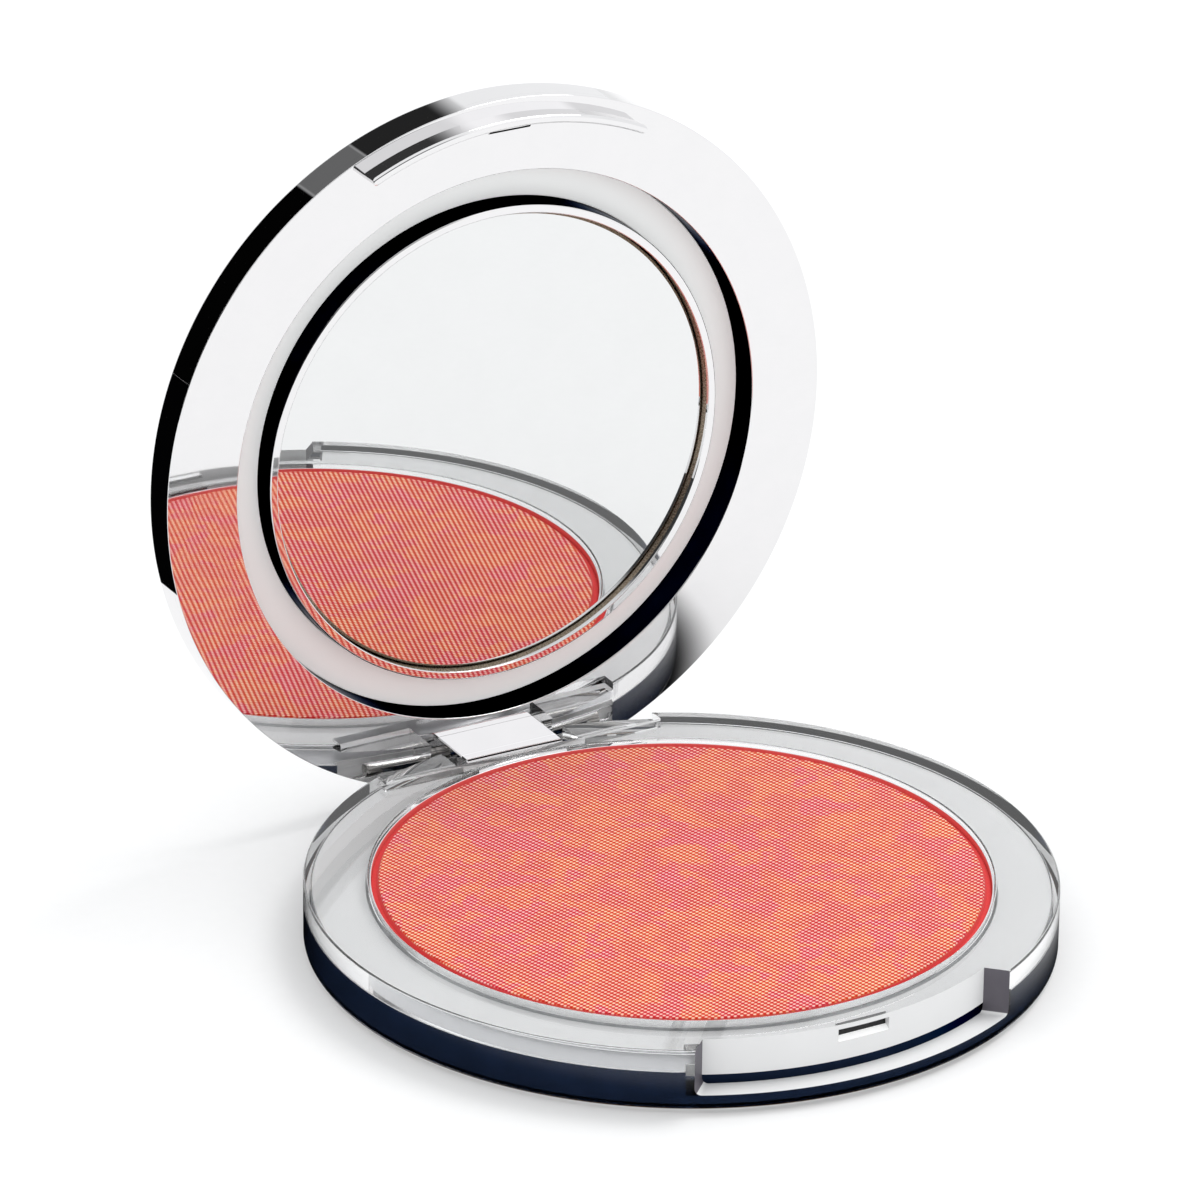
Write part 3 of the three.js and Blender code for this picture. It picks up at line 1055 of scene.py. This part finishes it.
def make_lid_frame():
    """The plated frame: flat rim, groove, mirror rim and seat, latch lip and knuckle."""
    piece = turned(
        "lid_inner",
        [
            (0, behind_face(GROOVE_DEPTH), 0),
            (MIRROR_SEAT, behind_face(GROOVE_DEPTH), 0.1),
            (MIRROR_SEAT, behind_face(MIRROR_RIM_DEPTH), 0.12),
            (GROOVE_INNER, behind_face(MIRROR_RIM_DEPTH), 0.2),
            (GROOVE_INNER, behind_face(GROOVE_DEPTH), 0.1),
            (GROOVE_OUTER, behind_face(GROOVE_DEPTH), 0.1),
            (GROOVE_OUTER, LID_FACE, 0.1),
            (OUTER, LID_FACE, 0.06),
            (OUTER, behind_face(LID_RIM), 0),
            (GROOVE_OUTER + COVER_WALL, behind_face(LID_RIM), 0.1),
            (GROOVE_OUTER + COVER_WALL, behind_face(FRAME_BACK), 0.1),
            (0, behind_face(FRAME_BACK), 0),
        ],
    )
    combine(piece, latch_lip(), "UNION")
    combine(piece, snap_hook(), "UNION")
    piece.data.transform(OPEN_LID)
    combine(piece, knuckle(), "UNION")
    combine(piece, hinge_rod("lid_bore", PIN + FIT, FAR), "DIFFERENCE")
    tidy_faces(piece)
    smooth(piece, 35)

    def wall(centre, normal):
        """1 for the groove's upright walls, 0 for everything else."""
        near = 0.05
        in_groove = GROOVE_INNER - near < open_radius_of(centre) < GROOVE_OUTER + near
        in_depth = near < centre.y - OPEN_FACE < GROOVE_DEPTH + 2 * near
        return 1 if in_groove and in_depth and abs(normal.y) < 0.7 else 0

    # The groove's walls get the near-black painted dark reflection.
    dress(piece, [CHROME, GROOVE_PAINTED_BLACK], wall)
    place(piece, "lid", "chrome_lid", "lid_frame")


def make_lid_cover():
    """The plated cover: an upright side, a rounded edge and a shallow crown."""
    rim = behind_face(LID_RIM + LID_SEAM)
    inside = OUTER - COVER_SIDE_WALL
    shoulder = OUTER - 0.6
    crown = behind_face(LID_CROWN)
    crown_edge = behind_face(LID_SIDE) + 0.6

    def on_crown(share, inward=0.0):
        """A corner on the crown, share of the way from its middle to its shoulder."""
        return (shoulder * share, crown_edge + (crown - crown_edge) * (1 - share**2) - inward, 0)

    shares = [1 - k / 12 for k in range(1, 12)]
    corners = [(inside, rim, 0.1), (OUTER, rim, 0), (OUTER, crown_edge + 0.05, 0.55)]
    corners += [on_crown(share) for share in shares]
    corners += [(0, crown, 0), (0, crown - COVER_WALL, 0)]
    corners += [on_crown(share, COVER_WALL) for share in reversed(shares)]
    corners.append((inside, crown_edge - COVER_WALL, 0.3))
    piece = turned("lid_outer", corners)
    piece.data.transform(OPEN_LID)
    smooth(piece, 35)
    dress(piece, [CHROME])
    place(piece, "lid", "chrome_lid", "lid_cover")


def make_groove_ring():
    front = behind_face(ring_low.y - OPEN_FACE)
    back = behind_face(ring_high.y - OPEN_FACE)
    inner, outer = GROOVE_INNER + FIT, GROOVE_OUTER - FIT
    piece = turned(
        "satin_ring",
        [
            (inner, front, 0.06),
            (outer, front, 0.06),
            (outer, back, 0.04),
            (inner, back, 0.04),
        ],
    )
    piece.data.transform(OPEN_LID)
    smooth(piece)
    # The ring glows with painted light.
    dress(piece, [SATIN_PAINTED_GLOW])
    place(piece, "lid", "satin_silver", "groove_ring")


def make_mirror():
    face = behind_face(MIRROR_DEPTH)
    back = face + MIRROR_THICKNESS
    piece = turned(
        "mirror",
        [
            (0, face, 0),
            (MIRROR - MIRROR_BEVEL, face, 0),
            (MIRROR, face + MIRROR_BEVEL, 0.08),
            (MIRROR, back, 0.1),
            (0, back, 0),
        ],
    )
    piece.data.transform(OPEN_LID)
    smooth(piece, 20)

    def edge(centre, normal):
        return 1 if open_radius_of(centre) > MIRROR - MIRROR_BEVEL else 0

    dress(piece, [mirror_silver(), mirror_edge()], edge)
    place(piece, "lid", "mirror", "mirror_glass")


def dress_hidden_pieces():
    """The tape discs are plain flat discs, so the CAD pieces stay and get their material."""
    tape = foam_tape()
    for node in ("pan_adhesive", "mirror_adhesive"):
        frame["nodes"][node].data.materials.clear()
        frame["nodes"][node].data.materials.append(tape)


# ---- Studio ----
CAMERA_AZIMUTH = math.radians(-29.79)
CAMERA_ELEVATION = math.radians(24.73)
CAMERA_ROLL = math.radians(0.74)
CAMERA_DISTANCE = 0.8
CAMERA_LENS = 245.66
CAMERA_TARGET = Vector((-0.002, 0.013, 0.0304))
CAMERA_SHIFT = (-0.00107, 0.00757)
FLOOR_SIZE = 6.0  # from the middle to each side
AMBIENT = 1.08  # the light that matt surfaces get from all round


def make_camera():
    level = math.cos(CAMERA_ELEVATION)
    back = Vector(
        (
            math.sin(CAMERA_AZIMUTH) * level,
            -math.cos(CAMERA_AZIMUTH) * level,
            math.sin(CAMERA_ELEVATION),
        )
    )
    camera = bpy.data.objects.new("camera", bpy.data.cameras.new("camera"))
    bpy.context.scene.collection.objects.link(camera)
    camera.data.sensor_width = 36
    camera.data.lens = CAMERA_LENS
    camera.data.shift_x, camera.data.shift_y = CAMERA_SHIFT
    camera.data.clip_start = 0.01
    camera.data.clip_end = 20
    facing = (-back).to_track_quat("-Z", "Y").to_matrix().to_4x4()
    camera.matrix_world = (
        Matrix.Translation(CAMERA_TARGET + back * CAMERA_DISTANCE)
        @ facing
        @ Matrix.Rotation(CAMERA_ROLL, 4, "Z")
    )
    bpy.context.scene.camera = camera


def sheet(name, corners, height):
    """A flat sheet at one height, from the X and Y of its corners."""
    bm = bmesh.new()
    bm.faces.new([bm.verts.new((x, y, height)) for x, y in corners])
    piece = object_from(name, bm)
    return piece


def square(half):
    return [(-half, -half), (half, -half), (half, half), (-half, half)]


def make_floor():
    floor = sheet("floor", square(FLOOR_SIZE), 0.0)
    paper = Surface(
        "floor_paper",
        Roughness=0.9,
        Specular_IOR_Level=0.1,
        Emission_Color=(1, 1, 1, 1),
        Emission_Strength=0.2,
    )
    grain = paper.noise(paper.where, 0.8, 3)
    paper.colour(grain, (0.70, 0.70, 0.70), (0.72, 0.72, 0.72))
    dress(floor, [paper.material])


def hide_from_all_but_reflections(card):
    card.visible_camera = False
    card.visible_diffuse = False
    card.visible_transmission = False
    card.visible_shadow = False


def make_black_card():
    """A black wedge on the floor behind and to the left, seen only in reflections."""
    near = [(-0.085, 0.078), (-0.045, 0.078), (-0.045, 0.095)]
    far = [(-3.4, FLOOR_SIZE), (-FLOOR_SIZE, 5.0)]
    card = sheet("black_card", near + far, 0.0004)
    black = Surface("black_card", Roughness=0.8, Specular_IOR_Level=0.0)
    grain = black.noise(black.where, 0.5, 2)
    black.colour(grain, (0.0005, 0.0005, 0.0006), (0.001, 0.001, 0.0012))
    dress(card, [black.material])
    hide_from_all_but_reflections(card)


def make_shade_card():
    """A soft dark patch on the floor round the base, seen only in reflections."""
    outer = 0.045
    card = sheet("shade_card", square(outer), 0.0002)
    material = bpy.data.materials.new("shade_card")
    material.use_nodes = True
    nodes = Nodes(material.node_tree)
    fade = nodes.step(nodes.length(nodes.millimetres()), OUTER + 2, outer / MM)
    clear = nodes.add("ShaderNodeBsdfTransparent")
    dark = nodes.add("ShaderNodeBsdfDiffuse")
    dark.inputs["Color"].default_value = (0.003, 0.003, 0.004, 1)
    blend = nodes.add("ShaderNodeMixShader")
    nodes.link(fade, blend.inputs[0])
    nodes.link(dark.outputs[0], blend.inputs[1])
    nodes.link(clear.outputs[0], blend.inputs[2])
    nodes.link(blend.outputs[0], nodes.add("ShaderNodeOutputMaterial").inputs["Surface"])
    dress(card, [material])
    card.location.x = -0.003
    hide_from_all_but_reflections(card)


def make_world():
    """Even soft light for matt surfaces; plating also mirrors the studio's dark flags."""
    world = bpy.data.worlds.new("studio")
    bpy.context.scene.world = world
    world.use_nodes = True
    world.cycles.sampling_method = "NONE"
    nodes = Nodes(world.node_tree)
    x, y, z = nodes.split(nodes.add("ShaderNodeTexCoord").outputs["Generated"])
    bearing = nodes.maths("ARCTAN2", x, y)
    product, rest = nodes.product, nodes.rest

    def turn(low, high):
        """0 to 1 between two bearings, in degrees clockwise from +Y as seen from above."""
        return nodes.step(bearing, math.radians(low), math.radians(high))

    def rise(low, high):
        """0 to 1 between two elevations, in degrees."""
        return nodes.step(z, math.sin(math.radians(low)), math.sin(math.radians(high)))

    low_down = rest(rise(39, 40))
    mirrored_by_side = product(nodes.step(y, 0.70, 0.73), rest(nodes.step(y, 0.86, 0.89)))
    black = product(turn(-70, -62), rest(turn(-13, -12)), mirrored_by_side, low_down)
    grey = product(turn(-13, -12), rest(turn(1, 2)), rise(30, 31), low_down)
    navy = product(turn(1, 2), rest(turn(19, 26)), rise(26, 27), low_down)
    front = nodes.maths("MAXIMUM", turn(156, 164), rest(turn(-75, -62)))
    behind_camera = product(front, rest(rise(28, 36)))
    bright = product(turn(136, 142), rest(turn(156, 164)), rise(12, 16), rest(rise(34, 38)))
    level = product(
        nodes.between(behind_camera, 1.0, 0.05),
        nodes.between(bright, 1.0, 1.3),
        nodes.between(black, 1.0, 0.001),
        nodes.between(grey, 1.0, 0.15),
        nodes.between(navy, 1.0, 0.02),
    )
    depth = nodes.add("ShaderNodeLightPath").outputs["Diffuse Depth"]
    level = nodes.maths("MAXIMUM", level, nodes.maths("MINIMUM", depth, AMBIENT))
    sky = nodes.add("ShaderNodeBackground")
    nodes.link(level, sky.inputs["Strength"])
    sky.inputs["Color"].default_value = (0.98, 0.99, 1.0, 1)
    plain = nodes.add("ShaderNodeBackground")
    plain.inputs["Color"].default_value = (1, 1, 1, 1)
    seen = nodes.add("ShaderNodeMixShader")
    nodes.link(nodes.add("ShaderNodeLightPath").outputs["Is Camera Ray"], seen.inputs[0])
    nodes.link(sky.outputs[0], seen.inputs[1])
    nodes.link(plain.outputs[0], seen.inputs[2])
    nodes.link(seen.outputs[0], nodes.add("ShaderNodeOutputWorld").inputs["Surface"])


def make_lamp(name, where, size, power):
    """A square softbox aimed at the compact."""
    lamp = bpy.data.objects.new(name, bpy.data.lights.new(name, "AREA"))
    bpy.context.scene.collection.objects.link(lamp)
    lamp.data.size = size
    lamp.data.energy = power
    lamp.location = where
    lamp.rotation_mode = "QUATERNION"
    lamp.rotation_quaternion = (Vector((0, 0, 0.02)) - lamp.location).to_track_quat("-Z", "Y")


def set_view():
    scene = bpy.context.scene
    scene.view_settings.view_transform = "Standard"
    scene.cycles.max_bounces = 24
    scene.cycles.transmission_bounces = 20
    scene.cycles.glossy_bounces = 12
    scene.cycles.sample_clamp_indirect = 8


make_camera()
make_clear_body()
make_plated_shell()
make_pan()
make_cake()
make_pin()
make_lid_frame()
make_lid_cover()
make_groove_ring()
make_mirror()
dress_hidden_pieces()
make_floor()
make_black_card()
make_shade_card()
make_world()
make_lamp("key", (0.55, 0.1, 1.0), 0.5, 4.5)
set_view()
